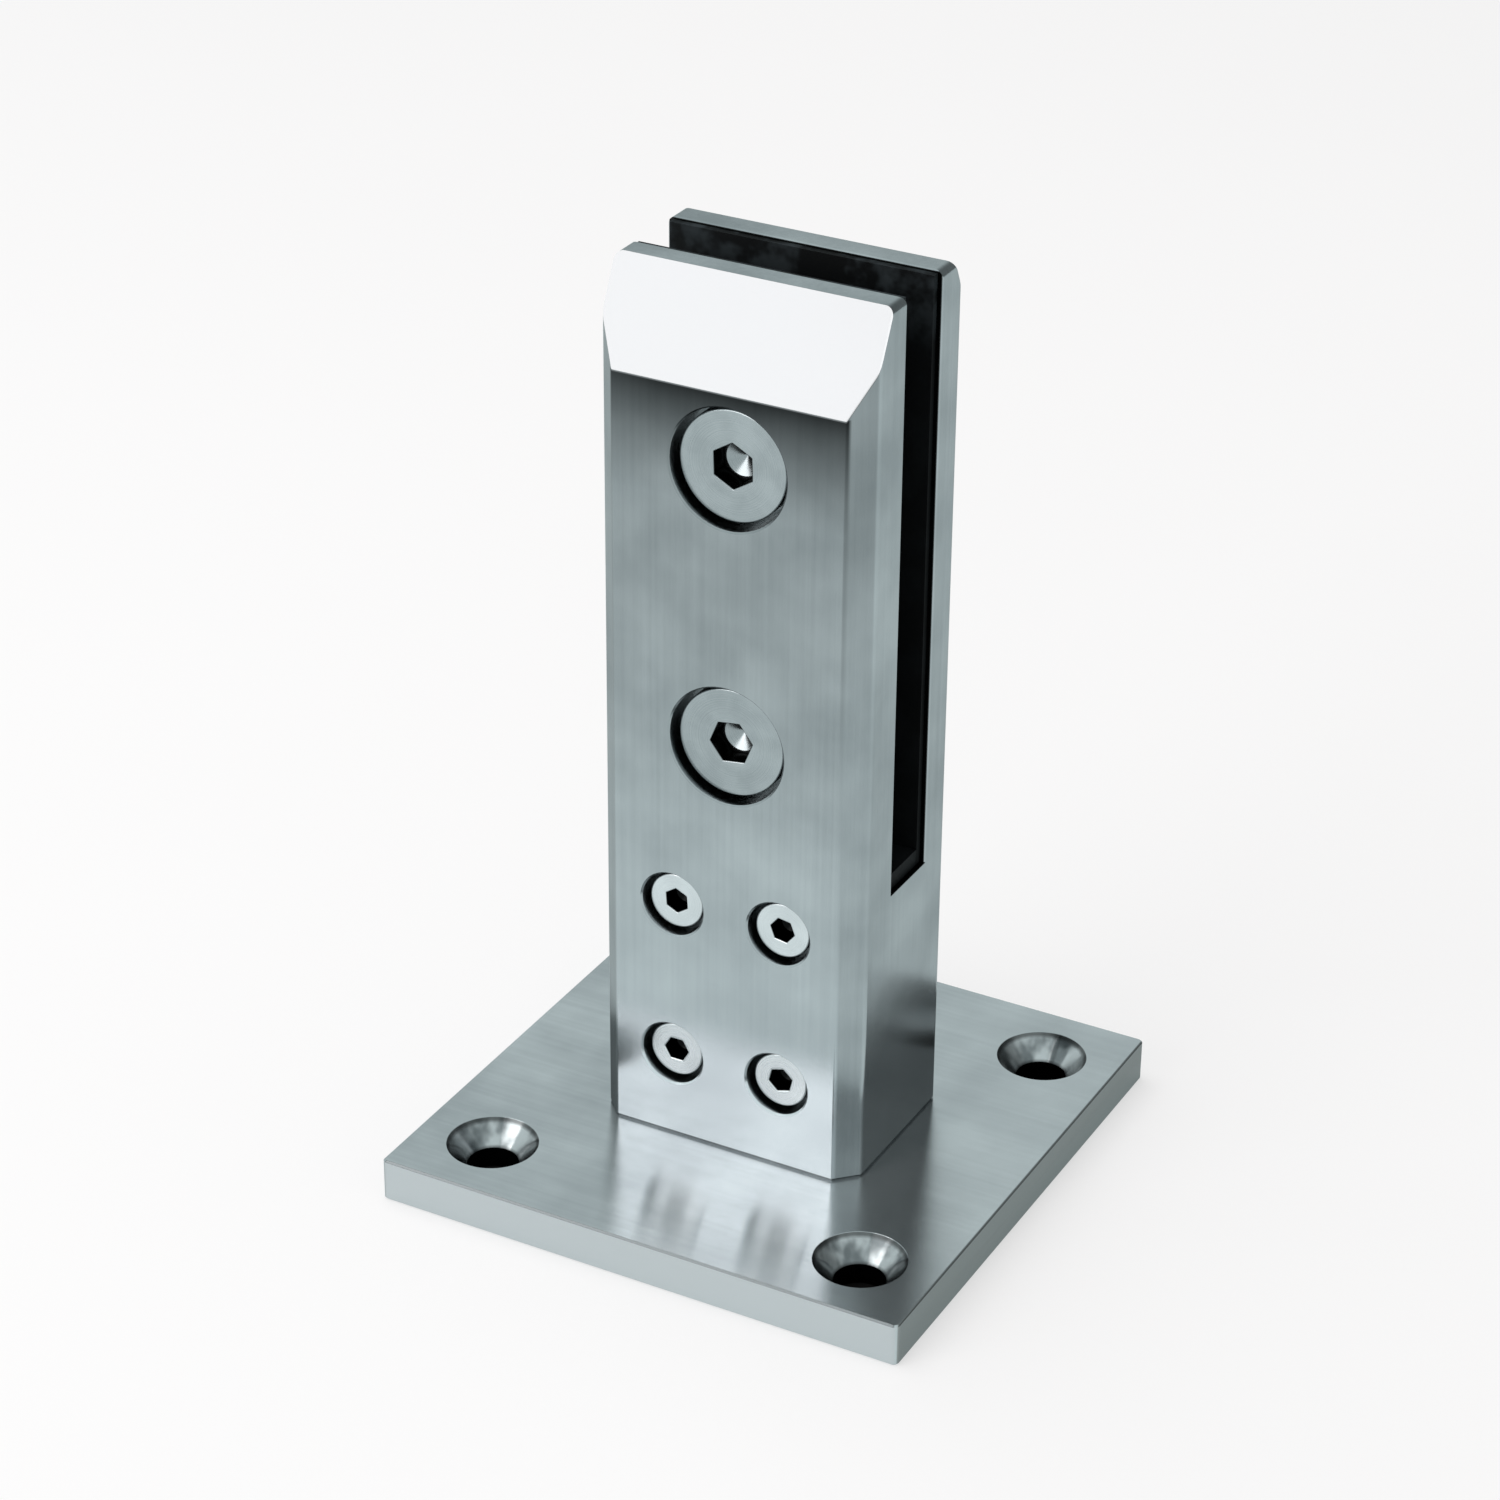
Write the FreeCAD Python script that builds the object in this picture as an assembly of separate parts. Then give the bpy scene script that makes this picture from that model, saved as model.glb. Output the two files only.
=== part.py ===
"""Glass spigot on a square base plate.

A slotted block of stainless steel stands over a stub on a square base plate and is held to it by four
socket screws. Its two cheeks grip the lower edge of a glass panel. Two large flat-headed socket screws
cross the slot and draw the cheeks together on rubber linings.

Frame: origin at the bottom centre of the base plate, +Z up. The front, with the screws, faces -Y.
The slot runs along X and is open at both ends and at the top. Sizes are in millimetres.
"""
import FreeCAD, Part
import math
import os

# Base plate
plate_side = 100.0
plate_thickness = 8.0
plate_corner_radius = 1.0
plate_edge_break = 0.3
anchor_spacing = 72.0
anchor_hole_radius = 4.5
anchor_sink_radius = 8.1
anchor_sink_angle = 82.0

# Outside of the clamp body
body_width = 50.0
body_depth = 36.0
body_height = 159.5
corner_chamfer = 3.8
front_edge_round = 0.4
side_edge_round = 1.8
top_corner_radius = 1.6
foot_edge_break = 0.5
edge_break = 0.3
cheek_land = 4.4
bevel_slope = 2.05

# Slot for the glass and its linings
glass_thickness = 10.0
lining_thickness = 1.3
lining_side_inset = 1.0
lining_top_inset = 0.5
front_cheek = 12.7
slot_floor_height = 51.6
floor_pad_thickness = 3.0
pad_clearance = 0.1

# Socket in the foot of the body, and the stub that fills it
socket_front_wall = 11.4
socket_rear_wall = 8.4
socket_side_wall = 8.3
socket_corner_radius = 3.0
socket_clearance = 0.1
stub_top_clearance = 0.3
stub_edge_break = 0.5

# Clamp screws, across the slot
lower_clamp_above_floor = 27.7
upper_clamp_below_top = 30.1
clamp_hex_turns = {"lower": 8.0, "upper": 32.0}
clamp_head_radius = 9.8
clamp_head_height = 5.0
clamp_head_recess = 1.9
clamp_head_gap = 0.9
clamp_shank_radius = 5.0
clamp_hex_flats = 7.0
clamp_hex_depth = 3.6
clamp_thread_reach = 6.0
clamp_thread_clearance = 0.05
clamp_hole_clearance = 0.4

# Foot screws, through the front wall into the stub
lower_foot_above_plate = 16.3
upper_foot_below_floor = 5.4
foot_screw_side_inset = 14.8
foot_head_radius = 5.1
foot_head_height = 6.0
foot_head_recess = 1.6
foot_head_gap = 0.8
foot_shank_radius = 3.0
foot_hex_flats = 4.0
foot_hex_depth = 3.2
foot_tip_inset = 4.5
foot_hex_turn_step = 17.0
foot_hole_clearance = 0.3
screw_fit = 0.02
tapped_runout = 1.2
screw_edge_chamfer = 0.35

# Countersunk screws that hold the stub to the plate from below
stub_screw_spacing = 16.0
stub_head_radius = 6.3
stub_head_recess = 0.2
stub_screw_radius = 3.0
stub_screw_reach = 9.0
stub_hex_flats = 4.0
stub_hex_depth = 2.2
stub_hole_clearance = 0.3
sink_clearance = 0.05

# Plastic sleeves round the clamp screws, where they pass through the glass
bush_wall = 2.4
bush_bore_clearance = 0.1
bush_end_clearance = 0.1
lining_hole_clearance = 0.8

# Places worked out from the sizes above
plate_top = plate_thickness
body_top = plate_top + body_height
half_width = body_width / 2
front_face = -body_depth / 2
rear_face = body_depth / 2
slot_width = glass_thickness + 2 * lining_thickness
slot_front = front_face + front_cheek
slot_rear = slot_front + slot_width
slot_floor = plate_top + slot_floor_height
glass_front = slot_front + lining_thickness
glass_rear = slot_rear - lining_thickness
socket_front = front_face + socket_front_wall
socket_rear = rear_face - socket_rear_wall
socket_half_width = half_width - socket_side_wall
stub_front = socket_front + socket_clearance
stub_rear = socket_rear - socket_clearance
stub_middle = (stub_front + stub_rear) / 2
lining_half_width = half_width - lining_side_inset
lining_top = body_top - lining_top_inset
big = 4 * plate_side

clamp_head_top = front_face + clamp_head_recess
clamp_seat = clamp_head_top + clamp_head_height
clamp_tip = slot_rear + clamp_thread_reach
foot_head_top = front_face + foot_head_recess
foot_seat = foot_head_top + foot_head_height
foot_tip = stub_rear - foot_tip_inset

V = FreeCAD.Vector


def block(x0, x1, y0, y1, z0, z1):
    """Box between two opposite corners."""
    return Part.makeBox(x1 - x0, y1 - y0, z1 - z0, V(x0, y0, z0))


def rod_y(radius, y0, y1, x, z):
    """Round bar along Y."""
    return Part.makeCylinder(radius, y1 - y0, V(x, y0, z), V(0, 1, 0))


def rod_z(radius, z0, z1, x, y):
    """Round bar along Z."""
    return Part.makeCylinder(radius, z1 - z0, V(x, y, z0), V(0, 0, 1))


def prism(points, sweep):
    """Closed polygon of vectors carried along a straight sweep."""
    return Part.Face(Part.makePolygon(points + points[:1])).extrude(sweep)


def turned(profile, axis):
    """Profile of (radius, place along the axis) points, turned about +Y or +Z through the origin."""
    along = {"y": lambda r, a: V(r, a, 0), "z": lambda r, a: V(r, 0, a)}[axis]
    points = [along(r, a) for r, a in profile]
    face = Part.Face(Part.makePolygon(points + points[:1]))
    return face.revolve(V(0, 0, 0), along(0, 1), 360)


def upright_edges(shape, lowest=0.0):
    """Straight edges that run along Z and are longer than a given length."""
    found = []
    for edge in shape.Edges:
        start, end = edge.Vertexes[0].Point, edge.Vertexes[-1].Point
        if abs(start.x - end.x) < 1e-6 and abs(start.y - end.y) < 1e-6 and abs(start.z - end.z) > lowest:
            found.append(edge)
    return found


def edges_at_height(shape, z):
    """Edges that lie flat at one height."""
    return [e for e in shape.Edges if abs(e.BoundBox.ZMin - z) < 1e-6 and abs(e.BoundBox.ZMax - z) < 1e-6]


def hex_socket(flats, depth, turn, axis):
    """Hexagonal key socket, open at 0 and deep along +axis."""
    corner = flats / 2 / math.cos(math.radians(30))
    ring = []
    for i in range(6):
        angle = math.radians(turn + 60 * i)
        u, v = corner * math.cos(angle), corner * math.sin(angle)
        ring.append(V(u, -1, v) if axis == "y" else V(u, v, -1))
    sweep = V(0, depth + 1, 0) if axis == "y" else V(0, 0, depth + 1)
    return prism(ring, sweep)


def socket_screw(head_radius, head_height, shank_radius, length, flats, hex_depth, turn):
    """Cylinder-headed socket screw along +Y, with the top of its head at y = 0."""
    edge = screw_edge_chamfer
    tip = head_height + length
    profile = [(0, 0), (head_radius - edge, 0), (head_radius, edge), (head_radius, head_height),
               (shank_radius, head_height), (shank_radius, tip - edge), (shank_radius - edge, tip), (0, tip)]
    return turned(profile, "y").cut(hex_socket(flats, hex_depth, turn, "y"))


def counterbore(radius, seat, x, z):
    """Round pocket for a screw head, from the front face to its seat, with its rim broken."""
    deep = seat - front_face
    profile = [(0, -1), (radius + edge_break + 1, -1), (radius, edge_break), (radius, deep), (0, deep)]
    return turned(profile, "y").translated(V(x, front_face, z))


def foot_screw_places():
    """Name, X and Z of each foot screw."""
    x = half_width - foot_screw_side_inset
    places = []
    for level, z in (("lower", plate_top + lower_foot_above_plate), ("upper", slot_floor - upper_foot_below_floor)):
        places.append((f"foot_screw_{level}_left", -x, z))
        places.append((f"foot_screw_{level}_right", x, z))
    return places


def clamp_screw_places():
    """Level name and Z of each clamp screw, both at X = 0."""
    return [("lower", slot_floor + lower_clamp_above_floor), ("upper", body_top - upper_clamp_below_top)]


def make_base_plate():
    """Square plate with four countersunk anchor holes, and two from below for the stub screws."""
    half = plate_side / 2
    plate = block(-half, half, -half, half, 0, plate_thickness)
    plate = plate.makeFillet(plate_corner_radius, upright_edges(plate))
    rims = edges_at_height(plate, 0) + edges_at_height(plate, plate_thickness)
    plate = plate.makeChamfer(plate_edge_break, rims)
    sink_depth = (anchor_sink_radius - anchor_hole_radius) / math.tan(math.radians(anchor_sink_angle / 2))
    widen = anchor_sink_radius + (anchor_sink_radius - anchor_hole_radius) / sink_depth
    hole = turned([(0, -1), (anchor_hole_radius, -1), (anchor_hole_radius, plate_thickness - sink_depth),
                   (widen, plate_thickness + 1), (0, plate_thickness + 1)], "z")
    for x in (-anchor_spacing / 2, anchor_spacing / 2):
        for y in (-anchor_spacing / 2, anchor_spacing / 2):
            plate = plate.cut(hole.translated(V(x, y, 0)))
    hole_radius = stub_screw_radius + stub_hole_clearance
    sink_mouth = stub_head_radius + stub_head_recess + sink_clearance
    sink_end = sink_mouth - hole_radius
    hole = turned([(0, -1), (sink_mouth + 1, -1), (hole_radius, sink_end),
                   (hole_radius, plate_thickness + 1), (0, plate_thickness + 1)], "z")
    for x in (-stub_screw_spacing / 2, stub_screw_spacing / 2):
        plate = plate.cut(hole.translated(V(x, stub_middle, 0)))
    return plate


def make_base_stub():
    """Block on the plate that fills the body's foot, tapped for the foot screws and the stub screws."""
    half = socket_half_width - socket_clearance
    top = slot_floor - stub_top_clearance
    stub = block(-half, half, stub_front, stub_rear, plate_top, top)
    stub = stub.makeFillet(socket_corner_radius, upright_edges(stub))
    stub = stub.makeChamfer(stub_edge_break, edges_at_height(stub, top))
    for _, x, z in foot_screw_places():
        stub = stub.cut(rod_y(foot_shank_radius + screw_fit, stub_front - 1, foot_tip + tapped_runout, x, z))
    for x in (-stub_screw_spacing / 2, stub_screw_spacing / 2):
        end = plate_top + stub_screw_reach + tapped_runout
        stub = stub.cut(rod_z(stub_screw_radius + screw_fit, plate_top - 1, end, x, stub_middle))
    return stub


def make_stub_screw(x):
    """Countersunk socket screw from below, through the plate into the stub."""
    edge = screw_edge_chamfer
    tip = plate_top + stub_screw_reach
    cone_end = stub_head_recess + stub_head_radius - stub_screw_radius
    screw = turned([(0, stub_head_recess), (stub_head_radius, stub_head_recess), (stub_screw_radius, cone_end),
                    (stub_screw_radius, tip - edge), (stub_screw_radius - edge, tip), (0, tip)], "z")
    key = hex_socket(stub_hex_flats, stub_hex_depth, 0, "z").translated(V(0, 0, stub_head_recess))
    return screw.cut(key).translated(V(x, stub_middle, 0))


def body_blank():
    """Block with broken upright corners, rounded top corners and a bevel on each cheek."""
    c = corner_chamfer
    w = half_width
    ring = [V(-w + c, front_face, plate_top), V(w - c, front_face, plate_top), V(w, front_face + c, plate_top),
            V(w, rear_face - c, plate_top), V(w - c, rear_face, plate_top), V(-w + c, rear_face, plate_top),
            V(-w, rear_face - c, plate_top), V(-w, front_face + c, plate_top)]
    blank = prism(ring, V(0, 0, body_height))
    blank = blank.makeChamfer(foot_edge_break, edges_at_height(blank, plate_top))
    flat_side = [e for e in upright_edges(blank) if abs(abs(e.Vertexes[0].X) - w) < 1e-6]
    blank = blank.makeFillet(side_edge_round, flat_side)
    flat_front = [e for e in upright_edges(blank) if abs(abs(e.Vertexes[0].Y) - rear_face) < 1e-6]
    blank = blank.makeFillet(front_edge_round, flat_front)
    # Rounded top corners, seen from the front
    outline = block(-w - 1, w + 1, front_face - 1, rear_face + 1, plate_top - 1, body_top)
    for side in (-1, 1):
        x0 = side * w
        centre = V(x0 - side * top_corner_radius, 0, body_top - top_corner_radius)
        corner = block(min(centre.x, x0 + side * 2), max(centre.x, x0 + side * 2),
                       front_face - 1, rear_face + 1, centre.z, body_top + 1)
        corner = corner.cut(rod_y(top_corner_radius, front_face - 2, rear_face + 2, centre.x, centre.z))
        outline = outline.cut(corner)
    blank = blank.common(outline)
    # A bevel slopes from the flat land beside the slot to the outer face of each cheek
    for land_end, face in ((slot_front - cheek_land, front_face), (slot_rear + cheek_land, rear_face)):
        outward = math.copysign(1, face)
        run = abs(face - land_end) + 1
        wedge = [V(-w - 1, land_end, body_top), V(-w - 1, land_end + outward * run, body_top - run * bevel_slope),
                 V(-w - 1, land_end + outward * run, body_top + 1), V(-w - 1, land_end, body_top + 1)]
        blank = blank.cut(prism(wedge, V(2 * w + 2, 0, 0)))
    return blank


def make_clamp_body():
    """Slotted block with a socket in its foot, screw holes in its front and tapped holes in its rear cheek."""
    body = body_blank()
    slot = block(-big, big, slot_front, slot_rear, slot_floor, big)
    e = edge_break
    # The slot's rims are broken along its top and up its open ends
    lip = [V(-big, slot_front - e, body_top), V(-big, slot_front, body_top - e), V(-big, slot_rear, body_top - e),
           V(-big, slot_rear + e, body_top)]
    body = body.cut(slot).cut(prism(lip, V(2 * big, 0, 0)))
    for side in (-1, 1):
        x0 = side * half_width
        rim = [V(x0, slot_front - e, slot_floor), V(x0 - side * e, slot_front, slot_floor),
               V(x0 - side * e, slot_rear, slot_floor), V(x0, slot_rear + e, slot_floor)]
        body = body.cut(prism(rim, V(0, 0, body_height)))
    socket = block(-socket_half_width, socket_half_width, socket_front, socket_rear, plate_top - 1, slot_floor)
    socket = socket.makeFillet(socket_corner_radius - socket_clearance, upright_edges(socket))
    body = body.cut(socket)
    for _, z in clamp_screw_places():
        body = body.cut(counterbore(clamp_head_radius + clamp_head_gap, clamp_seat, 0, z))
        body = body.cut(rod_y(clamp_shank_radius + clamp_hole_clearance, clamp_seat - 1, slot_front + 1, 0, z))
        tapped_end = clamp_tip + tapped_runout
        body = body.cut(rod_y(clamp_shank_radius + clamp_thread_clearance, slot_rear - 1, tapped_end, 0, z))
    for _, x, z in foot_screw_places():
        body = body.cut(counterbore(foot_head_radius + foot_head_gap, foot_seat, x, z))
        body = body.cut(rod_y(foot_shank_radius + foot_hole_clearance, foot_seat - 1, socket_front + 1, x, z))
    return body


def make_clamp_screw(level, z):
    """Large screw with a low flat head, from the front cheek to the tapped rear cheek."""
    screw = socket_screw(clamp_head_radius, clamp_head_height, clamp_shank_radius, clamp_tip - clamp_seat,
                         clamp_hex_flats, clamp_hex_depth, clamp_hex_turns[level])
    return screw.translated(V(0, clamp_head_top, z))


def make_foot_screw(x, z, turn):
    """Screw that holds the foot of the body to the stub."""
    screw = socket_screw(foot_head_radius, foot_head_height, foot_shank_radius, foot_tip - foot_seat,
                         foot_hex_flats, foot_hex_depth, turn)
    return screw.translated(V(x, foot_head_top, z))


def make_lining(y0):
    """Rubber sheet on the inner face of one cheek, with a hole round each clamp screw."""
    sheet = block(-lining_half_width, lining_half_width, y0, y0 + lining_thickness, slot_floor, lining_top)
    for _, z in clamp_screw_places():
        sheet = sheet.cut(rod_y(clamp_shank_radius + lining_hole_clearance, y0 - 1, y0 + lining_thickness + 1, 0, z))
    return sheet


def make_floor_pad():
    """Rubber block on the slot floor, under the edge of the glass."""
    return block(-lining_half_width, lining_half_width, glass_front + pad_clearance, glass_rear - pad_clearance,
                 slot_floor, slot_floor + floor_pad_thickness)


def make_glass_bush(z):
    """Plastic sleeve round a clamp screw, as long as the glass is thick."""
    bore = clamp_shank_radius + bush_bore_clearance
    y0, y1 = glass_front + bush_end_clearance, glass_rear - bush_end_clearance
    return rod_y(bore + bush_wall, y0, y1, 0, z).cut(rod_y(bore, y0 - 1, y1 + 1, 0, z))


nodes = {
    "base_plate": make_base_plate(),
    "base_stub": make_base_stub(),
    "stub_screw_left": make_stub_screw(-stub_screw_spacing / 2),
    "stub_screw_right": make_stub_screw(stub_screw_spacing / 2),
    "clamp_body": make_clamp_body(),
    "front_lining": make_lining(slot_front),
    "rear_lining": make_lining(glass_rear),
    "floor_pad": make_floor_pad(),
}
for index, (name, x, z) in enumerate(foot_screw_places()):
    nodes[name] = make_foot_screw(x, z, foot_hex_turn_step * index)
for level, z in clamp_screw_places():
    nodes[f"clamp_screw_{level}"] = make_clamp_screw(level, z)
    nodes[f"glass_bush_{level}"] = make_glass_bush(z)

os.makedirs("parts", exist_ok=True)
for name, shape in nodes.items():
    solid = shape.removeSplitter()
    solid.exportStep(f"parts/{name}.step")
    print(f"{name}: {len(solid.Solids)} solid, {solid.Volume / 1000:.2f} cm3, valid {solid.isValid()}")
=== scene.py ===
import math

import bpy
import numpy as np
from mathutils import Matrix, Vector


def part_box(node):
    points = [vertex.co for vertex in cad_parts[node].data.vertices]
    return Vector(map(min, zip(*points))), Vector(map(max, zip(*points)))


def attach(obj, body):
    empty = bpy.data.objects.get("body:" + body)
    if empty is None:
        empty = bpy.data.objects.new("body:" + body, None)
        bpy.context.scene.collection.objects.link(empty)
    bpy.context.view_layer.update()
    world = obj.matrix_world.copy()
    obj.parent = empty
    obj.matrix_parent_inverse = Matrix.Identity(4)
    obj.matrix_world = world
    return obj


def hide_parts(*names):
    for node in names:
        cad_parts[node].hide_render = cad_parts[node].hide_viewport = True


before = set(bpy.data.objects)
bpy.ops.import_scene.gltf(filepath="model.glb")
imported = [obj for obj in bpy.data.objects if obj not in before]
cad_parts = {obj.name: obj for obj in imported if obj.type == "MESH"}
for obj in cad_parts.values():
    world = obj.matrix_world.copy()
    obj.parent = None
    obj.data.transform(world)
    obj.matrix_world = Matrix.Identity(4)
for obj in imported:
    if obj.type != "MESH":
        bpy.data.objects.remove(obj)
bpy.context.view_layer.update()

MM = 0.001
TAU = 2 * math.pi

# Places read from the frame, in metres
plate_low, plate_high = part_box("base_plate")
body_low, body_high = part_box("clamp_body")
plate_top = plate_high.z
front_face = body_low.y
half_width = body_high.x
body_top = body_high.z
slot_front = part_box("front_lining")[0].y
slot_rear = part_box("rear_lining")[1].y
slot_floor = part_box("floor_pad")[0].z

# Anchor holes: their distance from the plate's middle along X and along Y, and a reach just past their cones
anchor_place = 36 * MM
cone_reach = 8.3 * MM

# Front corner chamfers: their width, and the right one's plane as x - y
corner_chamfer = 3.8 * MM
corner_reach = half_width - front_face - corner_chamfer

# Front bevel: its lower edge, its rise for each step back, and its plane as a direction and a distance
bevel_edge = 150.5 * MM
bevel_rise = 2.05
bevel_normal = tuple(Vector((0, -bevel_rise, 1)).normalized())
bevel_reach = Vector(bevel_normal).dot(Vector((0, front_face, bevel_edge)))


class Shader:
    """Node tree of one material, with a short call that adds a node and sets or links its sockets."""

    def __init__(self, name):
        self.material = bpy.data.materials.new(name)
        self.material.use_nodes = True
        self.tree = self.material.node_tree
        self.tree.nodes.clear()

    def add(self, kind, sockets=None, **settings):
        """Adds a node to this material."""
        return add_node(self.tree, kind, sockets, **settings)

    def object_point(self):
        """Object coordinates, in metres."""
        return self.add("TexCoord").outputs["Object"]

    def noise(self, scale, detail=2.0, roughness=0.5, squeeze=(1.0, 1.0, 1.0), offset=(0.0, 0.0, 0.0)):
        """Noise of object coordinates in millimetres, squeezed along the axes, from 0 to 1."""
        point = self.add("Mapping", {"Vector": self.object_point(), "Location": offset,
                                     "Scale": tuple(1000 * s for s in squeeze)})
        texture = self.add("TexNoise", {"Vector": point.outputs["Vector"], "Scale": scale,
                                        "Detail": detail, "Roughness": roughness})
        return texture.outputs["Fac"]

    def span(self, value, low, high, to_low=0.0, to_high=1.0, smooth=False):
        """Value mapped from one range to another, and held at the ends."""
        settings = {"interpolation_type": "SMOOTHSTEP"} if smooth else {}
        ranged = self.add("MapRange", {"Value": value, "From Min": low, "From Max": high,
                                       "To Min": to_low, "To Max": to_high}, **settings)
        return ranged.outputs["Result"]

    def maths(self, operation, first, second=0.0):
        """One step of arithmetic."""
        return self.add("Math", {0: first, 1: second}, operation=operation).outputs[0]

    def product(self, first, *others):
        """Factors multiplied together."""
        for other in others:
            first = self.maths("MULTIPLY", first, other)
        return first

    def blend(self, factor, first, second, how="MIX"):
        """Blend of two colours."""
        mix = self.add("Mix", {"Factor": factor, 6: first, 7: second}, data_type="RGBA", blend_type=how)
        return mix.outputs[2]

    def finish(self, shader):
        """Links the shader to the material's output."""
        self.add("OutputMaterial", {"Surface": shader})
        return self.material


def add_node(tree, kind, sockets=None, **settings):
    """Adds a shader node to a tree. A socket given as another node's output is linked, and else it is set."""
    node = tree.nodes.new("ShaderNode" + kind)
    for key, value in settings.items():
        setattr(node, key, value)
    for key, value in (sockets or {}).items():
        if isinstance(value, bpy.types.NodeSocket):
            tree.links.new(value, node.inputs[key])
        else:
            node.inputs[key].default_value = value
    return node


def colour(r, g, b):
    """Opaque colour from linear red, green and blue."""
    return (r, g, b, 1.0)


# Finishes

STEEL_DARK = colour(0.275, 0.292, 0.301)
STEEL_LIGHT = colour(0.415, 0.432, 0.441)
EDGE_TINT = colour(0.6, 0.6, 0.6)
BLACK = colour(0.0, 0.0, 0.0)


def brushed_steel(name, marks_along, smear_axis, dark, light, paint_light_and_shade, roughness=0.2, smear=0.6, depth=0.0006):
    """Satin steel with fine brush marks along one axis, broader bands beside them, and soft patches, under the
    painted light and shade that it is given.
    """
    s = Shader(name)
    marks = s.noise(18.0, 3.0, 0.6, squeeze=tuple(0.025 if axis == marks_along else 1.0 for axis in "XYZ"))
    bands = s.noise(0.9, 3.0, 0.6, squeeze=tuple(0.015 if axis == marks_along else 1.0 for axis in "XYZ"))
    patches = s.noise(0.05, 3.0, 0.5)
    weave = s.maths("ADD", s.product(marks, 0.14), s.product(bands, 0.18))
    weave = s.maths("ADD", weave, s.product(patches, 0.68))
    base = s.blend(s.span(weave, 0.36, 0.64), dark, light)
    # Painted light and shade laid over the brushed colour
    base = paint_light_and_shade(s, base)
    rough = s.span(marks, 0.3, 0.7, roughness * 0.85, roughness * 1.2)
    bump = s.add("Bump", {"Height": marks, "Distance": depth * MM, "Strength": 1.0})
    turn = s.add("Tangent", direction_type="RADIAL", axis=smear_axis)
    shader = s.add("BsdfPrincipled", {
        "Base Color": base, "Metallic": 1.0, "Roughness": rough, "Anisotropic": smear, "Specular Tint": EDGE_TINT,
        "Tangent": turn.outputs["Tangent"], "Normal": bump.outputs["Normal"]})
    return s.finish(shader.outputs["BSDF"])


def body_painted_light_and_shade(s, base):
    """Painted light and shade on the block: painted shade above, painted light towards the foot, and the darkest
    painted shade under the front bevel and inside the slot.
    """
    point = s.add("SeparateXYZ", {"Vector": s.object_point()})
    x, y, z = (point.outputs[axis] for axis in "XYZ")

    # Front face: painted shade above, painted light below, a band of painted shade just under the bevel, and the
    # strongest painted light at the foot
    on_front = s.span(y, front_face + 0.6 * MM, front_face + 0.2 * MM)
    upper = s.span(z, plate_top + 65 * MM, plate_top + 105 * MM, 0.0, 0.18)
    base = s.blend(s.product(on_front, upper), base, BLACK)
    lower = s.span(z, plate_top + 75 * MM, plate_top + 27 * MM, 0.0, 0.38)
    base = s.blend(s.product(on_front, lower), base, colour(0.56, 0.58, 0.60))
    fade = s.span(z, bevel_edge - 20 * MM, bevel_edge, 0.0, 0.93)
    below = s.maths("LESS_THAN", z, bevel_edge + 0.2 * MM)
    inward = s.span(x, -half_width, -half_width + 12 * MM, 0.9, 1.0)
    base = s.blend(s.product(on_front, fade, inward, below), base, BLACK)
    at_foot = s.span(z, plate_top + 27 * MM, plate_top + 16 * MM, smooth=True)
    base = s.blend(s.product(on_front, at_foot), base, colour(0.64, 0.66, 0.68))

    # Walls of the slot: near-black painted shade
    in_slot = s.product(s.maths("GREATER_THAN", y, slot_front - 0.1 * MM),
                        s.maths("LESS_THAN", y, slot_rear + 0.1 * MM),
                        s.maths("GREATER_THAN", z, slot_floor - 0.1 * MM))
    base = s.blend(in_slot, base, colour(0.02, 0.02, 0.02))

    # Front bevel: a darker colour as painted shade
    outward = s.add("VectorMath", {0: s.object_point(), 1: bevel_normal}, operation="DOT_PRODUCT")
    on_bevel = s.span(outward.outputs["Value"], bevel_reach - 0.15 * MM, bevel_reach - 0.03 * MM)
    base = s.blend(on_bevel, base, colour(0.268, 0.262, 0.266))

    # Corner chamfers: painted shade on the left one low down, and on the right one towards its top
    on_left = s.span(s.maths("ADD", x, y), 0.05 * MM - corner_reach, 0.25 * MM - corner_reach, 1.0, 0.0)
    low_left = s.span(z, plate_top + 26 * MM, plate_top + 16 * MM, 0.0, 0.5, smooth=True)
    base = s.blend(s.product(on_left, low_left), base, BLACK)
    on_corner = s.span(s.maths("SUBTRACT", x, y), corner_reach - 0.25 * MM, corner_reach - 0.05 * MM)
    high_corner = s.span(z, plate_top + 80 * MM, plate_top + 120 * MM, 0.0, 0.28)
    base = s.blend(s.product(on_corner, high_corner), base, BLACK)

    # Right side: painted light towards the plate
    on_side = s.span(x, half_width - 0.4 * MM, half_width - 0.1 * MM)
    low_side = s.span(z, plate_top + 40 * MM, plate_top + 5 * MM, 0.08, 0.6)
    return s.blend(s.product(on_side, low_side), base, colour(0.60, 0.61, 0.62))


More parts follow.
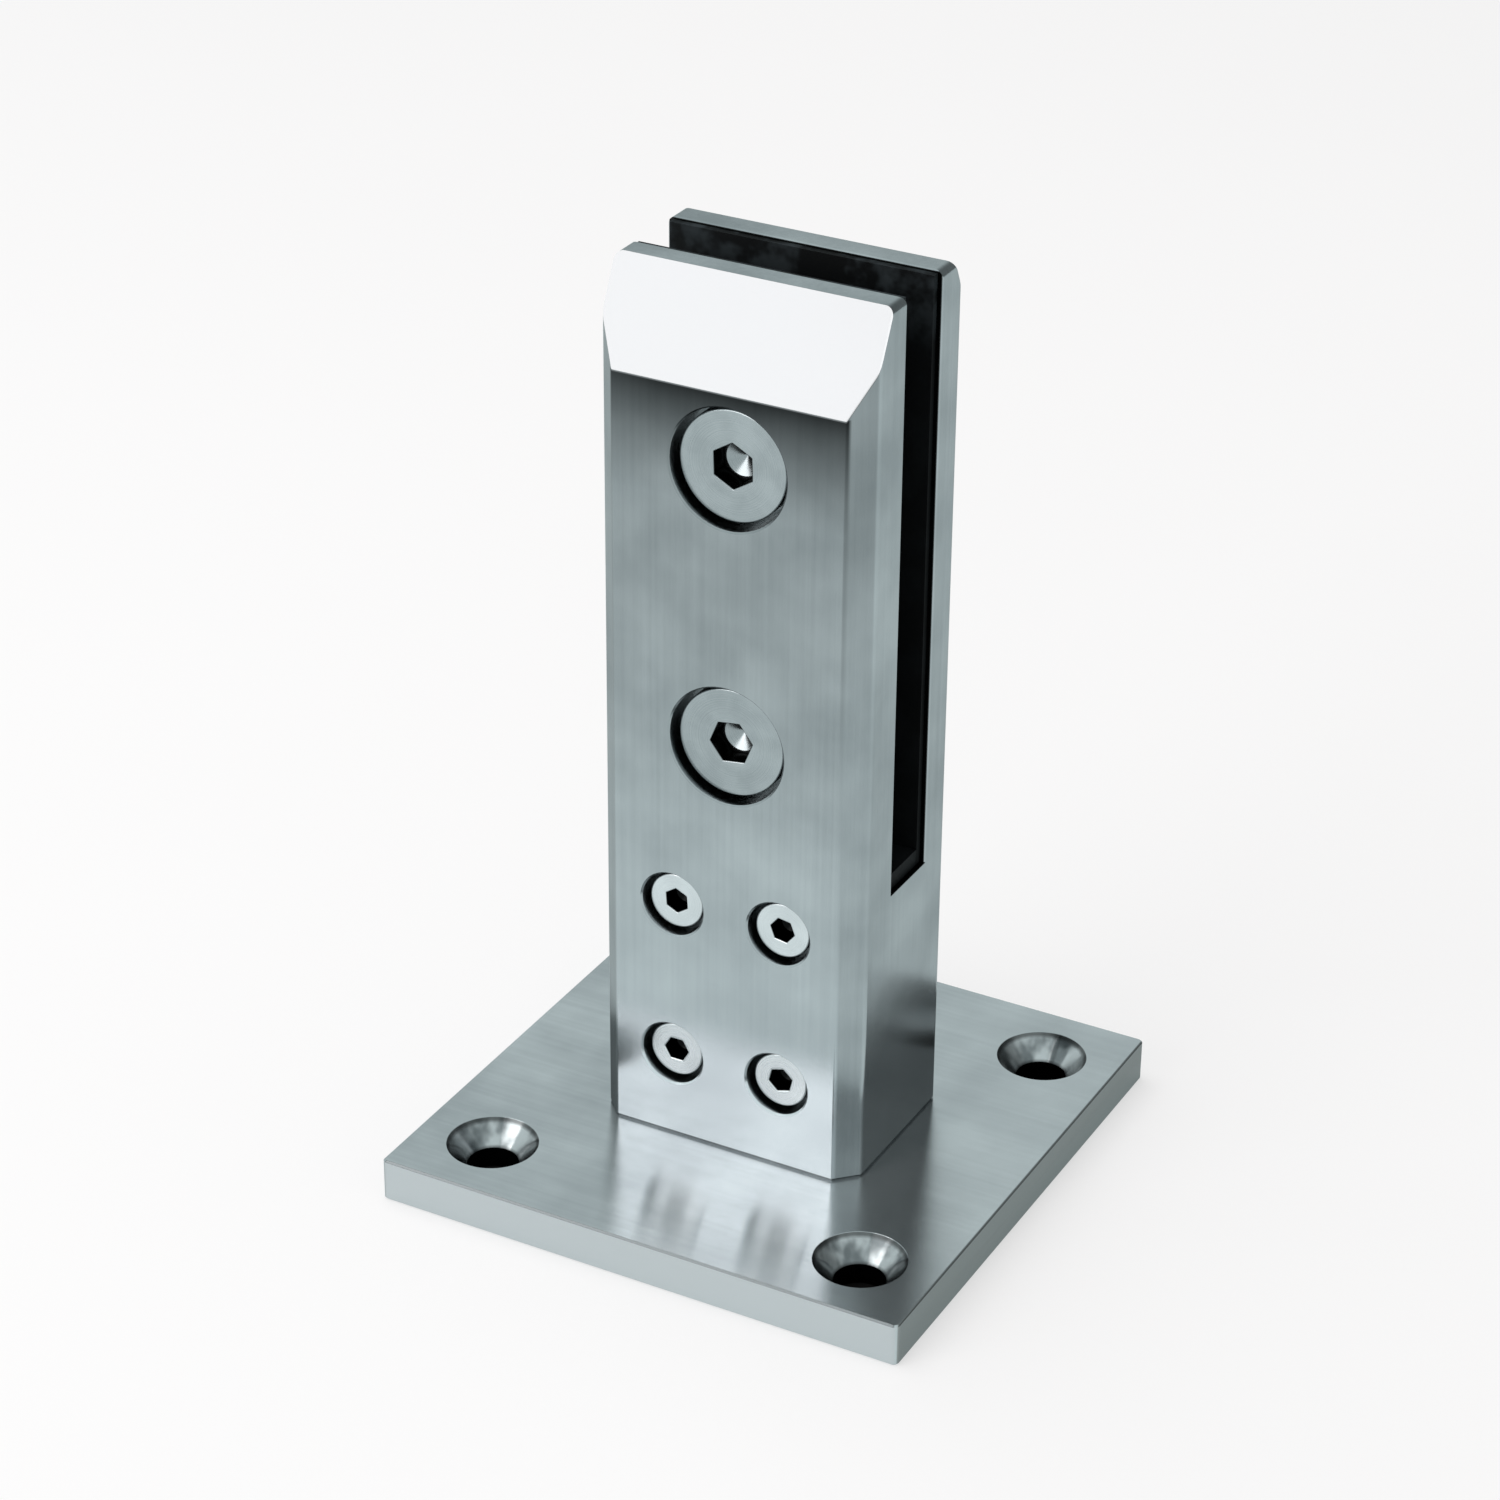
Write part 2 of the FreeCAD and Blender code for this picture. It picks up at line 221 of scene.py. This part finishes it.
def plate_stains_and_painted_light(s, base):
    """Stains and painted light and shade on the plate: painted light on the front edge under a rim of painted
    shade, painted shade on the right edge, and stained anchor holes with painted shade at their rims and bottoms.
    """
    point = s.add("SeparateXYZ", {"Vector": s.object_point()})
    x, y, z = (point.outputs[axis] for axis in "XYZ")

    # Top a little lighter towards the right, then the edges with their painted light and shade
    base = s.blend(s.span(x, plate_low.x * 0.8, plate_high.x, 0.0, 0.25), base, colour(0.72, 0.73, 0.74))
    # Painted light: the front edge lighter
    on_front = s.span(y, plate_low.y + 0.25 * MM, plate_low.y + 0.10 * MM)
    base = s.blend(on_front, base, colour(0.53, 0.52, 0.53))
    # Painted shade: the rim along the front of the top darker
    rim_reach = plate_top - plate_low.y
    rim = s.span(s.maths("SUBTRACT", z, y), rim_reach - 0.40 * MM, rim_reach - 0.32 * MM)
    base = s.blend(rim, base, colour(0.20, 0.205, 0.21))
    # Painted shade: the right edge darker
    on_right = s.span(x, plate_high.x - 0.25 * MM, plate_high.x - 0.10 * MM)
    base = s.blend(on_right, base, colour(0.27, 0.27, 0.265))

    # Anchor holes: stained cones, with painted shade as a dark rim and a black bottom
    across = s.maths("SUBTRACT", s.maths("ABSOLUTE", x), anchor_place)
    along = s.maths("SUBTRACT", s.maths("ABSOLUTE", y), anchor_place)
    away = s.maths("SQRT", s.maths("ADD", s.product(across, across), s.product(along, along)))
    in_hole = s.product(s.maths("LESS_THAN", away, cone_reach),
                        s.maths("LESS_THAN", z, plate_top - 0.05 * MM))
    stain = s.noise(0.26, 2.0, 0.5, squeeze=(1.0, 1.0, 0.4), offset=(3.0, 1.0, 0.0))
    sunk = s.blend(s.span(stain, 0.34, 0.62, smooth=True),
                   colour(0.15, 0.16, 0.165), colour(0.50, 0.51, 0.515))
    painted_rim_shade = s.span(z, plate_top - 0.9 * MM, plate_top - 0.4 * MM, 0.0, 0.75)
    sunk = s.blend(painted_rim_shade, sunk, colour(0.03, 0.03, 0.03))
    sunk = s.blend(s.span(z, plate_top - 3.7 * MM, plate_top - 4.3 * MM), sunk, colour(0.008, 0.008, 0.008))
    return s.blend(in_hole, base, sunk)


body_steel = brushed_steel("brushed_body_steel", "Z", "Z", STEEL_DARK, STEEL_LIGHT, body_painted_light_and_shade)
plate_steel = brushed_steel("brushed_plate_steel", "X", "X",
                            colour(0.325, 0.340, 0.350), colour(0.465, 0.480, 0.488), plate_stains_and_painted_light, smear=1.0)


def turned_steel(name, dark, light):
    """Machined steel with fine rings, from each point's own distance to the screw's axis in millimetres, and
    near-black painted shade in the key's socket.
    """
    s = Shader(name)
    spoke = s.add("Attribute", attribute_name="spoke", attribute_type="GEOMETRY").outputs["Fac"]
    socket_shade = s.add("Attribute", attribute_name="socket_shade", attribute_type="GEOMETRY").outputs["Fac"]
    rings = s.add("TexNoise", {"W": s.product(spoke, 9.0), "Scale": 1.0, "Detail": 2.0},
                  noise_dimensions="1D").outputs["Fac"]
    patches = s.noise(0.2, 2.0)
    base = s.blend(s.span(s.maths("ADD", rings, patches), 0.8, 1.2), dark, light)
    # Painted shade: near black inside the key's socket
    base = s.blend(socket_shade, base, colour(0.006, 0.006, 0.006))
    bump = s.add("Bump", {"Height": rings, "Distance": 0.002 * MM, "Strength": 1.0})
    shader = s.add("BsdfPrincipled", {"Base Color": base, "Metallic": 1.0, "Specular Tint": EDGE_TINT,
                                      "Roughness": s.span(rings, 0.3, 0.7, 0.2, 0.3),
                                      "Normal": bump.outputs["Normal"]})
    return s.finish(shader.outputs["BSDF"])


# One turned steel in a shaded and a lit copy: painted shade on the clamp screws, painted light on the foot screws
clamp_screw_steel_painted_shade = turned_steel("turned_clamp_screw_steel",
                                 colour(0.305, 0.322, 0.331), colour(0.385, 0.402, 0.411))
foot_screw_steel_painted_light = turned_steel("turned_foot_screw_steel",
                                colour(0.58, 0.585, 0.595), colour(0.67, 0.675, 0.685))


def moulded_rubber():
    """Black rubber, near black as painted shade for the slot, with a fine matt grain, and slate patches of painted
    sheen near the top of the block.
    """
    s = Shader("moulded_rubber")
    grain = s.noise(4.0, 4.0, 0.7)
    sheen_patches = s.span(s.noise(0.14, 3.0, 0.6), 0.42, 0.62, smooth=True)
    height = s.add("SeparateXYZ", {"Vector": s.object_point()}).outputs["Z"]
    painted_sheen = s.product(sheen_patches, s.span(height, body_top - 16 * MM, body_top - 2 * MM, 0.08, 1.0))
    # Painted shade: a near-black base; painted sheen: slate patches near the top
    base = s.blend(painted_sheen, colour(0.0015, 0.0017, 0.002), colour(0.030, 0.037, 0.041))
    bump = s.add("Bump", {"Height": grain, "Distance": 0.02 * MM, "Strength": 1.0})
    shader = s.add("BsdfPrincipled", {"Base Color": base, "Roughness": s.span(painted_sheen, 0.0, 1.0, 0.65, 0.85),
                                      "Specular IOR Level": 0.12, "Normal": bump.outputs["Normal"]})
    return s.finish(shader.outputs["BSDF"])


def moulded_nylon():
    """Off-white plastic with a soft sheen and faint flow marks."""
    s = Shader("moulded_nylon")
    flow = s.noise(0.6, 3.0, 0.5, squeeze=(1.0, 0.2, 1.0))
    base = s.blend(s.span(flow, 0.35, 0.65), colour(0.55, 0.54, 0.50), colour(0.64, 0.63, 0.60))
    bump = s.add("Bump", {"Height": flow, "Distance": 0.01 * MM, "Strength": 1.0})
    shader = s.add("BsdfPrincipled", {"Base Color": base, "Roughness": s.span(flow, 0.3, 0.7, 0.38, 0.5),
                                      "Subsurface Weight": 0.05, "Normal": bump.outputs["Normal"]})
    return s.finish(shader.outputs["BSDF"])


rubber = moulded_rubber()
nylon = moulded_nylon()


def dress(name, material):
    """Gives a node of the frame its finish."""
    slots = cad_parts[name].data.materials
    slots.clear()
    slots.append(material)


dress("clamp_body", body_steel)
dress("base_plate", plate_steel)
dress("base_stub", plate_steel)
for name in ("front_lining", "rear_lining", "floor_pad"):
    dress(name, rubber)
for name in ("glass_bush_lower", "glass_bush_upper"):
    dress(name, nylon)


# Screws

def grid_piece(name, points, marks, material):
    """Mesh of a grid of points, rows along the profile and columns around it, closed at a pole at each end.

    Each mark is a number for every point of the grid, kept as an attribute of that name.
    """
    rows, columns, _ = points.shape
    vertices = np.vstack([points[0].mean(0), points.reshape(-1, 3), points[-1].mean(0)])
    row = np.arange(rows - 1)[:, None]
    column = np.arange(columns)[None, :]
    following = (column + 1) % columns
    quads = 1 + np.stack([row * columns + column, (row + 1) * columns + column,
                          (row + 1) * columns + following, row * columns + following], -1).reshape(-1, 4)
    ring = np.arange(columns)
    ahead = (ring + 1) % columns
    last = len(vertices) - 1
    base = 1 + (rows - 1) * columns
    first_fan = np.stack([np.zeros(columns, int), 1 + ring, 1 + ahead], 1)
    last_fan = np.stack([np.full(columns, last), base + ahead, base + ring], 1)
    mesh = bpy.data.meshes.new(name)
    mesh.from_pydata(vertices.tolist(), [], quads.tolist() + first_fan.tolist() + last_fan.tolist())
    for key, values in marks.items():
        mark = mesh.attributes.new(key, "FLOAT", "POINT")
        flat = np.concatenate([values[0, :1], values.ravel(), values[-1, :1]])
        mark.data.foreach_set("value", flat.astype(np.float32))
    mesh.materials.append(material)
    piece = bpy.data.objects.new(name, mesh)
    bpy.context.scene.collection.objects.link(piece)
    return piece


def screw_piece(name, node, body, material, turn, head_radius, head_height, flats, key_depth, cone_shade,
                shank_radius, pitch, columns, rows_per_turn):
    """Socket screw in place of a node of the frame, along +Y, sizes in millimetres.

    Each row is a ring at a depth below the head's top. Its radius is the key's hexagon inside, which opens into a
    circle across the head's face. Along the shank it falls and rises once in each pitch, and each column starts
    a little later than the one before, by the same share of the pitch as of the turn, which makes the thread.
    """
    low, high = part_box(node)
    centre = (low + high) / 2
    length = (high.y - low.y) / MM
    angle = math.radians(turn) + TAU * np.arange(columns) / columns
    corner = (np.arange(columns) / columns * 360) % 60 - 30
    hexagon = flats / 2 / np.cos(np.radians(corner))
    circle = np.ones(columns)
    drill = 0.44 * flats

    rings = [(0.02 * circle, key_depth + 0.55 * drill), (drill * circle, key_depth), (hexagon, key_depth)]
    mouth = 0.12
    rings += [(hexagon, key_depth * k) for k in (0.999, 0.5)]
    rings += [(hexagon, mouth + 0.01), (hexagon, mouth)]
    bore_rows = len(rings)
    lip = hexagon + mouth + 0.05
    rings += [(hexagon + mouth, 0.02), (lip, 0.0)]
    edge = 0.35
    for share in (0.2, 0.45, 0.7, 0.9, 1.0):
        rings.append((lip + ((head_radius - edge) * circle - lip) * share, 0.0))
    for step in range(1, 7):
        tilt = math.pi / 2 * step / 6
        rings.append(((head_radius - edge + edge * math.sin(tilt)) * circle, edge * (1 - math.cos(tilt))))
    rings += [(head_radius * circle, head_height - 0.2), (head_radius * circle, head_height - 0.05),
              ((head_radius - 0.05) * circle, head_height)]
    thread_depth = 0.61 * pitch
    neck = shank_radius - thread_depth
    rings += [((neck + 0.3) * circle, head_height), (neck * circle, head_height + 0.3)]

    start = head_height + 0.5
    count = int((length - start) / pitch * rows_per_turn)
    for place in np.linspace(start, length, count):
        phase = (place / pitch - np.arange(columns) / columns) % 1.0
        crest = np.clip(np.abs(phase - 0.5) * 2 * 1.25 - 0.12, 0, 1)
        reach = min(1.0, (length - place) / (0.6 * pitch) + 0.25)
        rings.append((neck + thread_depth * crest * reach, place))
    rings.append((0.6 * neck * circle, length))
    rings.append((0.02 * circle, length))

    radii = np.array([r for r, _ in rings])
    depths = np.array([d for _, d in rings])[:, None] * circle
    points = np.stack([centre.x + MM * radii * np.cos(angle), low.y + MM * depths,
                       centre.z + MM * radii * np.sin(angle)], -1)
    # Painted shade for the key's socket, near black down its walls, and on its drill cone as much as cone_shade
    # gives
    inside = (np.arange(len(rings)) < bore_rows)[:, None] * circle
    inside[:2] = cone_shade
    piece = grid_piece(name, points, {"spoke": radii, "socket_shade": inside}, material)
    piece.data.shade_smooth()
    piece.data.set_sharp_from_angle(angle=math.radians(28))
    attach(piece, body)
    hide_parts(node)
    return piece


clamp_sizes = {"head_radius": 9.8, "head_height": 5.0, "flats": 7.0, "key_depth": 3.6, "cone_shade": 0.1,
               "shank_radius": 5.0, "pitch": 1.5, "columns": 96, "rows_per_turn": 10}
foot_sizes = {"head_radius": 5.1, "head_height": 6.0, "flats": 4.0, "key_depth": 3.2, "cone_shade": 1.0,
              "shank_radius": 3.0, "pitch": 1.0, "columns": 72, "rows_per_turn": 6}
for level, turn in (("lower", 8.0), ("upper", 32.0)):
    screw_piece(f"threaded_clamp_screw_{level}", f"clamp_screw_{level}", f"{level}_clamp_screw",
                clamp_screw_steel_painted_shade, turn, **clamp_sizes)
for index, place in enumerate(("lower_left", "lower_right", "upper_left", "upper_right")):
    screw_piece(f"threaded_foot_screw_{place}", f"foot_screw_{place}", "spigot",
                foot_screw_steel_painted_light, 17.0 * index, **foot_sizes)
for side in ("left", "right"):
    dress(f"stub_screw_{side}", plate_steel)


# Studio

MIRRORED_TINT = colour(0.87, 1.0, 1.01)


def studio_floor():
    """Pale floor, white to the camera, tinted in reflections, with its shadow kept, and near black as painted
    shade under the plate.
    """
    s = Shader("pale_floor")
    path = s.add("LightPath")
    seen = s.maths("MAXIMUM", path.outputs["Is Camera Ray"], path.outputs["Is Glossy Ray"])
    seen = s.maths("MAXIMUM", seen, path.outputs["Is Transmission Ray"])
    point = s.add("SeparateXYZ", {"Vector": s.object_point()})
    off_centre = s.maths("MAXIMUM", s.maths("ABSOLUTE", point.outputs["X"]),
                         s.maths("ABSOLUTE", point.outputs["Y"]))
    outside = s.maths("GREATER_THAN", off_centre, plate_high.x - 4 * MM)
    shade = s.noise(0.004, 2.0)
    pale = s.blend(shade, colour(0.44, 0.44, 0.44), colour(0.46, 0.46, 0.46))
    # Painted shade: the floor under the plate near black, with no glow added there
    matt = s.add("BsdfDiffuse", {"Color": s.blend(outside, colour(0.01, 0.01, 0.01), pale)})
    glow_colour = s.blend(path.outputs["Is Glossy Ray"], colour(0.530, 0.526, 0.526), colour(0.505, 0.635, 0.645))
    glow = s.add("Emission", {"Color": glow_colour, "Strength": s.product(seen, outside)})
    both = s.add("AddShader", {0: matt.outputs[0], 1: glow.outputs[0]})
    half = 4.0
    corners = [(-half, -half, 0), (half, -half, 0), (half, half, 0), (-half, half, 0)]
    mesh = bpy.data.meshes.new("floor")
    mesh.from_pydata(corners, [], [(0, 1, 2, 3)])
    mesh.materials.append(s.finish(both.outputs[0]))
    floor = bpy.data.objects.new("floor", mesh)
    bpy.context.scene.collection.objects.link(floor)


def studio_world():
    """World that is white to the camera, tinted and dimmer at the back right in reflections, and soft as light."""
    world = bpy.data.worlds.new("studio")
    bpy.context.scene.world = world
    world.use_nodes = True
    tree = world.node_tree
    tree.nodes.clear()
    path = add_node(tree, "LightPath")
    aim = add_node(tree, "TexCoord").outputs["Generated"]
    dark_side = Vector((0.50, 0.80, 0.33)).normalized()
    along = add_node(tree, "VectorMath", {0: aim, 1: tuple(dark_side)}, operation="DOT_PRODUCT")
    fall = add_node(tree, "MapRange", {"Value": along.outputs["Value"], "From Min": 0.55, "From Max": 0.95,
                                       "To Min": 1.0, "To Max": 0.25}, interpolation_type="SMOOTHSTEP")
    mirrored = add_node(tree, "Background", {"Color": MIRRORED_TINT, "Strength": fall.outputs["Result"]})
    seen = add_node(tree, "Background", {"Color": colour(1.0, 1.0, 1.0), "Strength": 1.0})
    shed = add_node(tree, "Background", {"Color": colour(1.0, 1.0, 1.0), "Strength": 0.55})
    glossy = add_node(tree, "MixShader", {0: path.outputs["Is Glossy Ray"], 1: shed.outputs[0],
                                          2: mirrored.outputs[0]})
    clear = add_node(tree, "Math", {0: path.outputs["Is Camera Ray"], 1: path.outputs["Is Transmission Ray"]},
                     operation="MAXIMUM")
    both = add_node(tree, "MixShader", {0: clear.outputs[0], 1: glossy.outputs[0], 2: seen.outputs[0]})
    add_node(tree, "OutputWorld", {"Surface": both.outputs[0]})


def softbox(name, place, target, width, height, power, mirrored=True):
    """Rectangular soft lamp that faces a point, and shows in reflections unless it is told not to."""
    lamp = bpy.data.lights.new(name, "AREA")
    lamp.shape = "RECTANGLE"
    lamp.size = width
    lamp.size_y = height
    lamp.energy = power
    fixture = bpy.data.objects.new(name, lamp)
    fixture.location = place
    fixture.rotation_euler = (Vector(target) - Vector(place)).to_track_quat("-Z", "Y").to_euler()
    fixture.visible_glossy = mirrored
    bpy.context.scene.collection.objects.link(fixture)


studio_floor()
studio_world()
softbox("front_softbox", (-0.48, -0.95, 0.54), (0.0, 0.0, 0.06), 0.85, 0.60, 4.3)
softbox("top_softbox", (-0.35, 0.05, 1.35), (0.0, 0.0, 0.0), 1.1, 1.1, 7.0, mirrored=False)


# Camera

def make_camera():
    """Camera at the photograph's angle, from its fitted place, direction and small roll."""
    azimuth, elevation, roll = (math.radians(v) for v in (28.215, 28.436, 0.498))
    back = Vector((math.sin(azimuth) * math.cos(elevation), -math.cos(azimuth) * math.cos(elevation),
                   math.sin(elevation)))
    level = Vector((math.cos(azimuth), math.sin(azimuth), 0))
    upward = back.cross(level)
    right = math.cos(roll) * level + math.sin(roll) * upward
    above = math.cos(roll) * upward - math.sin(roll) * level
    lens = bpy.data.cameras.new("camera")
    lens.sensor_width = 36.0
    lens.lens = 99.07
    lens.clip_start = 0.01
    camera = bpy.data.objects.new("camera", lens)
    place = Vector((0.286916, -0.544190, 0.411401))
    turn = Matrix((right, above, back)).transposed()
    camera.matrix_world = Matrix.Translation(place) @ turn.to_4x4()
    bpy.context.scene.collection.objects.link(camera)
    bpy.context.scene.camera = camera


make_camera()
bpy.context.scene.view_settings.view_transform = "Standard"
